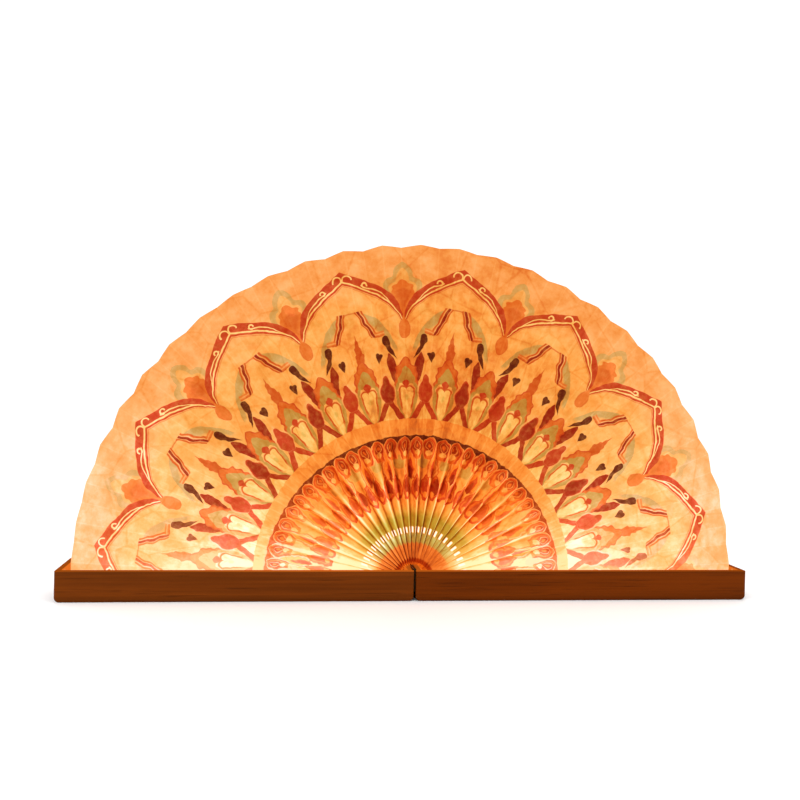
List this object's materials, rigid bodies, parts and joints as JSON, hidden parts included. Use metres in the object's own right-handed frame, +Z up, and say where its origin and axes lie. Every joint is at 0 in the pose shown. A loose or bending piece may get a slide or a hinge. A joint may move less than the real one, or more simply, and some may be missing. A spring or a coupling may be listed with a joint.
{
  "type": "folding fan lamp",
  "caption": "Lit folding fan: a printed pleated paper half disc between two hinged open wooden trays that fold shut over it.",
  "frame": {"origin": "on the ground under the middle of the gap between the two trays", "axes": "+X along the trays to the right, +Y to the back, +Z up"},
  "size_m": [0.602, 0.06, 0.309],
  "materials": {
    "wood": "satin oiled hardwood, reddish brown",
    "plate": "thin plywood, matt",
    "card": "matt card",
    "paper": "translucent printed pleated paper, lit from inside",
    "brass": "dark antique brass",
    "steel": "plain steel",
    "magnet": "nickel plated",
    "lens": "frosted acrylic, lit",
    "board": "white solder mask",
    "chips": "yellow phosphor",
    "flex": "amber polyimide ribbon",
    "cell": "silver grey pouch",
    "green_board": "green solder mask",
    "glass_tube": "clear glass",
    "wire": "silicone insulation"
  },
  "bodies": {
    "left_half": {"left_tray": "wood", "left_cover_plate": "plate", "left_base_card": "card", "left_lens": "lens", "left_led_board": "board", "left_led_chips": "chips", "left_cover_screws": "steel", "left_hinge_screws": "brass", "left_latch_magnets": "magnet", "front_hinge_left_leaf": "brass", "rear_hinge_left_leaf": "brass", "hinge_pins": "brass", "hinge_flex": "flex", "battery": "cell", "charge_board": "green_board", "usb_port": "steel", "reed_switch": "glass_tube", "left_leads": "wire"},
    "right_half": {"right_tray": "wood", "right_cover_plate": "plate", "right_base_card": "card", "right_lens": "lens", "right_led_board": "board", "right_led_chips": "chips", "right_cover_screws": "steel", "right_hinge_screws": "brass", "right_latch_magnets": "magnet", "front_hinge_right_leaf": "brass", "rear_hinge_right_leaf": "brass", "sensor_magnet": "magnet", "right_leads": "wire"},
    "fold_01": {"pleat_01": "paper"},
    "fold_02": {"pleat_02": "paper"},
    "fold_03": {"pleat_03": "paper"},
    "fold_04": {"pleat_04": "paper"},
    "fold_05": {"pleat_05": "paper"},
    "fold_06": {"pleat_06": "paper"},
    "fold_07": {"pleat_07": "paper"},
    "fold_08": {"pleat_08": "paper"},
    "fold_09": {"pleat_09": "paper"},
    "fold_10": {"pleat_10": "paper"},
    "fold_11": {"pleat_11": "paper"},
    "fold_12": {"pleat_12": "paper"},
    "fold_13": {"pleat_13": "paper"},
    "fold_14": {"pleat_14": "paper"},
    "fold_15": {"pleat_15": "paper"},
    "fold_16": {"pleat_16": "paper"},
    "fold_17": {"pleat_17": "paper"},
    "fold_18": {"pleat_18": "paper"},
    "fold_19": {"pleat_19": "paper"},
    "fold_20": {"pleat_20": "paper"},
    "fold_21": {"pleat_21": "paper"},
    "fold_22": {"pleat_22": "paper"},
    "fold_23": {"pleat_23": "paper"},
    "fold_24": {"pleat_24": "paper"},
    "fold_25": {"pleat_25": "paper"},
    "fold_26": {"pleat_26": "paper"},
    "fold_27": {"pleat_27": "paper"}
  },
  "joints": [
    {"name": "tray_hinge", "type": "hinge", "parent": "left_half", "child": "right_half", "pos_m": [0, 0, 0.02615], "axis": [0, -1, 0], "range_deg": [0, 180], "deforming": ["hinge_flex"]},
    {"name": "fold_01_hinge", "type": "hinge", "parent": "left_half", "child": "fold_01", "pos_m": [-0.00519, 0, 0.01815], "axis": [0, -1, 0], "range_deg": [0, 3.33]},
    {"name": "fold_02_hinge", "type": "hinge", "parent": "left_half", "child": "fold_02", "pos_m": [-0.00518, 0, 0.01845], "axis": [0, -1, 0], "range_deg": [0, 10]},
    {"name": "fold_03_hinge", "type": "hinge", "parent": "left_half", "child": "fold_03", "pos_m": [-0.00515, 0, 0.01875], "axis": [0, -1, 0], "range_deg": [0, 16.67]},
    {"name": "fold_04_hinge", "type": "hinge", "parent": "left_half", "child": "fold_04", "pos_m": [-0.00512, 0, 0.01906], "axis": [0, -1, 0], "range_deg": [0, 23.33]},
    {"name": "fold_05_hinge", "type": "hinge", "parent": "left_half", "child": "fold_05", "pos_m": [-0.00507, 0, 0.01936], "axis": [0, -1, 0], "range_deg": [0, 30]},
    {"name": "fold_06_hinge", "type": "hinge", "parent": "left_half", "child": "fold_06", "pos_m": [-0.00501, 0, 0.01966], "axis": [0, -1, 0], "range_deg": [0, 36.67]},
    {"name": "fold_07_hinge", "type": "hinge", "parent": "left_half", "child": "fold_07", "pos_m": [-0.00494, 0, 0.01996], "axis": [0, -1, 0], "range_deg": [0, 43.33]},
    {"name": "fold_08_hinge", "type": "hinge", "parent": "left_half", "child": "fold_08", "pos_m": [-0.00485, 0, 0.02026], "axis": [0, -1, 0], "range_deg": [0, 50]},
    {"name": "fold_09_hinge", "type": "hinge", "parent": "left_half", "child": "fold_09", "pos_m": [-0.00476, 0, 0.02057], "axis": [0, -1, 0], "range_deg": [0, 56.67]},
    {"name": "fold_10_hinge", "type": "hinge", "parent": "left_half", "child": "fold_10", "pos_m": [-0.00465, 0, 0.02087], "axis": [0, -1, 0], "range_deg": [0, 63.33]},
    {"name": "fold_11_hinge", "type": "hinge", "parent": "left_half", "child": "fold_11", "pos_m": [-0.00453, 0, 0.02117], "axis": [0, -1, 0], "range_deg": [0, 70]},
    {"name": "fold_12_hinge", "type": "hinge", "parent": "left_half", "child": "fold_12", "pos_m": [-0.00439, 0, 0.02147], "axis": [0, -1, 0], "range_deg": [0, 76.67]},
    {"name": "fold_13_hinge", "type": "hinge", "parent": "left_half", "child": "fold_13", "pos_m": [-0.00424, 0, 0.02177], "axis": [0, -1, 0], "range_deg": [0, 83.33]},
    {"name": "fold_14_hinge", "type": "hinge", "parent": "left_half", "child": "fold_14", "pos_m": [-0.00407, 0, 0.02208], "axis": [0, -1, 0], "range_deg": [0, 90]},
    {"name": "fold_15_hinge", "type": "hinge", "parent": "left_half", "child": "fold_15", "pos_m": [-0.0039, 0, 0.02238], "axis": [0, -1, 0], "range_deg": [0, 96.67]},
    {"name": "fold_16_hinge", "type": "hinge", "parent": "left_half", "child": "fold_16", "pos_m": [-0.0037, 0, 0.02268], "axis": [0, -1, 0], "range_deg": [0, 103.33]},
    {"name": "fold_17_hinge", "type": "hinge", "parent": "left_half", "child": "fold_17", "pos_m": [-0.00349, 0, 0.02298], "axis": [0, -1, 0], "range_deg": [0, 110]},
    {"name": "fold_18_hinge", "type": "hinge", "parent": "left_half", "child": "fold_18", "pos_m": [-0.00326, 0, 0.02328], "axis": [0, -1, 0], "range_deg": [0, 116.67]},
    {"name": "fold_19_hinge", "type": "hinge", "parent": "left_half", "child": "fold_19", "pos_m": [-0.00301, 0, 0.02358], "axis": [0, -1, 0], "range_deg": [0, 123.33]},
    {"name": "fold_20_hinge", "type": "hinge", "parent": "left_half", "child": "fold_20", "pos_m": [-0.00274, 0, 0.02389], "axis": [0, -1, 0], "range_deg": [0, 130]},
    {"name": "fold_21_hinge", "type": "hinge", "parent": "left_half", "child": "fold_21", "pos_m": [-0.00246, 0, 0.02419], "axis": [0, -1, 0], "range_deg": [0, 136.67]},
    {"name": "fold_22_hinge", "type": "hinge", "parent": "left_half", "child": "fold_22", "pos_m": [-0.00215, 0, 0.02449], "axis": [0, -1, 0], "range_deg": [0, 143.33]},
    {"name": "fold_23_hinge", "type": "hinge", "parent": "left_half", "child": "fold_23", "pos_m": [-0.00182, 0, 0.02479], "axis": [0, -1, 0], "range_deg": [0, 150]},
    {"name": "fold_24_hinge", "type": "hinge", "parent": "left_half", "child": "fold_24", "pos_m": [-0.00146, 0, 0.02509], "axis": [0, -1, 0], "range_deg": [0, 156.67]},
    {"name": "fold_25_hinge", "type": "hinge", "parent": "left_half", "child": "fold_25", "pos_m": [-0.00108, 0, 0.0254], "axis": [0, -1, 0], "range_deg": [0, 163.33]},
    {"name": "fold_26_hinge", "type": "hinge", "parent": "left_half", "child": "fold_26", "pos_m": [-0.00067, 0, 0.0257], "axis": [0, -1, 0], "range_deg": [0, 170]},
    {"name": "fold_27_hinge", "type": "hinge", "parent": "left_half", "child": "fold_27", "pos_m": [-0.00023, 0, 0.026], "axis": [0, -1, 0], "range_deg": [0, 176.67]}
  ],
  "couplings": [
    {"joint": "fold_01_hinge", "follows": "tray_hinge", "ratio": 0.018519},
    {"joint": "fold_02_hinge", "follows": "tray_hinge", "ratio": 0.055556},
    {"joint": "fold_03_hinge", "follows": "tray_hinge", "ratio": 0.092593},
    {"joint": "fold_04_hinge", "follows": "tray_hinge", "ratio": 0.12963},
    {"joint": "fold_05_hinge", "follows": "tray_hinge", "ratio": 0.16667},
    {"joint": "fold_06_hinge", "follows": "tray_hinge", "ratio": 0.2037},
    {"joint": "fold_07_hinge", "follows": "tray_hinge", "ratio": 0.24074},
    {"joint": "fold_08_hinge", "follows": "tray_hinge", "ratio": 0.27778},
    {"joint": "fold_09_hinge", "follows": "tray_hinge", "ratio": 0.31481},
    {"joint": "fold_10_hinge", "follows": "tray_hinge", "ratio": 0.35185},
    {"joint": "fold_11_hinge", "follows": "tray_hinge", "ratio": 0.38889},
    {"joint": "fold_12_hinge", "follows": "tray_hinge", "ratio": 0.42593},
    {"joint": "fold_13_hinge", "follows": "tray_hinge", "ratio": 0.46296},
    {"joint": "fold_14_hinge", "follows": "tray_hinge", "ratio": 0.5},
    {"joint": "fold_15_hinge", "follows": "tray_hinge", "ratio": 0.53704},
    {"joint": "fold_16_hinge", "follows": "tray_hinge", "ratio": 0.57407},
    {"joint": "fold_17_hinge", "follows": "tray_hinge", "ratio": 0.61111},
    {"joint": "fold_18_hinge", "follows": "tray_hinge", "ratio": 0.64815},
    {"joint": "fold_19_hinge", "follows": "tray_hinge", "ratio": 0.68519},
    {"joint": "fold_20_hinge", "follows": "tray_hinge", "ratio": 0.72222},
    {"joint": "fold_21_hinge", "follows": "tray_hinge", "ratio": 0.75926},
    {"joint": "fold_22_hinge", "follows": "tray_hinge", "ratio": 0.7963},
    {"joint": "fold_23_hinge", "follows": "tray_hinge", "ratio": 0.83333},
    {"joint": "fold_24_hinge", "follows": "tray_hinge", "ratio": 0.87037},
    {"joint": "fold_25_hinge", "follows": "tray_hinge", "ratio": 0.90741},
    {"joint": "fold_26_hinge", "follows": "tray_hinge", "ratio": 0.94444},
    {"joint": "fold_27_hinge", "follows": "tray_hinge", "ratio": 0.98148}
  ]
}
